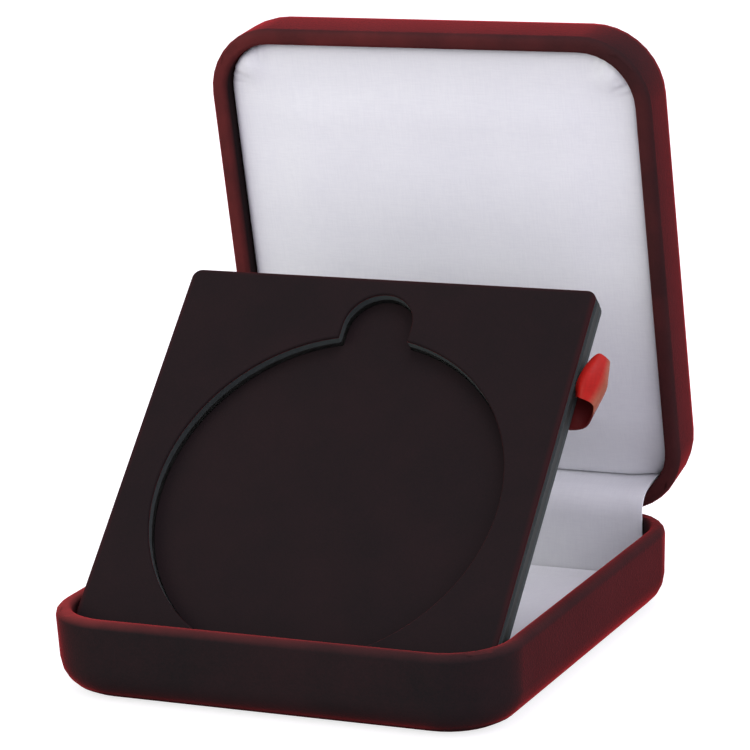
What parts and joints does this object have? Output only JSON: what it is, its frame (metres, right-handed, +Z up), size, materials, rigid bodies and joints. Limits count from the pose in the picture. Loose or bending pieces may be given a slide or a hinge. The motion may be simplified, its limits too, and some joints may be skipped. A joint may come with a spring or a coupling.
{
  "type": "medal presentation case",
  "caption": "Small velour-flocked presentation case with a snap-hinged padded lid and a tilting foam insert whose keyhole recess holds a medal.",
  "frame": {"origin": "centre of the base's flat underside", "axes": "+X to the right, +Y to the rear, where the hinge is, and +Z up; the front of the open case faces -Y"},
  "size_m": [0.094, 0.1137, 0.1152],
  "materials": {
    "flock": "burgundy velour flock on moulded plastic",
    "satin": "white satin",
    "card": "dense grey board",
    "pad_foam": "soft white foam",
    "steel": "plain stamped steel",
    "spring_steel": "tempered spring steel",
    "insert_foam": "dark closed-cell foam",
    "back_board": "dark board",
    "insert_velour": "burgundy velour",
    "ribbon": "red satin ribbon"
  },
  "bodies": {
    "base": {"base_shell": "flock", "base_floor_card": "card", "base_floor_satin": "satin", "hinge_leaf_base": "steel", "hinge_rivet_base_left": "steel", "hinge_rivet_base_right": "steel", "snap_spring": "spring_steel", "hinge_cover_base": "satin"},
    "hinge_pin": {"hinge_pin": "steel", "hinge_satin_web": "satin"},
    "lid": {"lid_shell": "flock", "lid_pad_card": "card", "lid_pad_foam": "pad_foam", "lid_pad_satin": "satin", "hinge_leaf_lid": "steel", "hinge_rivet_lid_left": "steel", "hinge_rivet_lid_right": "steel", "hinge_cover_lid": "satin"},
    "insert": {"insert_face_velour": "insert_velour", "insert_foam": "insert_foam", "insert_back_board": "back_board", "insert_recess_velour": "insert_velour", "ribbon_pull": "ribbon"}
  },
  "joints": [
    {"name": "lid_swing_with_pin", "type": "hinge", "parent": "base", "child": "hinge_pin", "pos_m": [0, 0.0491, 0.01615], "axis": [1, 0, 0], "range_deg": [0, 54.07], "deforming": ["hinge_satin_web"]},
    {"name": "lid_swing_on_pin", "type": "hinge", "parent": "hinge_pin", "child": "lid", "pos_m": [0, 0.0491, 0.01615], "axis": [1, 0, 0], "range_deg": [0, 26.5]},
    {"name": "insert_tilt", "type": "hinge", "parent": "base", "child": "insert", "pos_m": [0, -0.04129, 0.00819], "axis": [1, 0, 0], "range_deg": [-44.48, 0], "deforming": ["ribbon_pull"]}
  ],
  "couplings": [
    {"joint": "insert_tilt", "follows": "lid_swing_with_pin", "ratio": -0.82264}
  ]
}
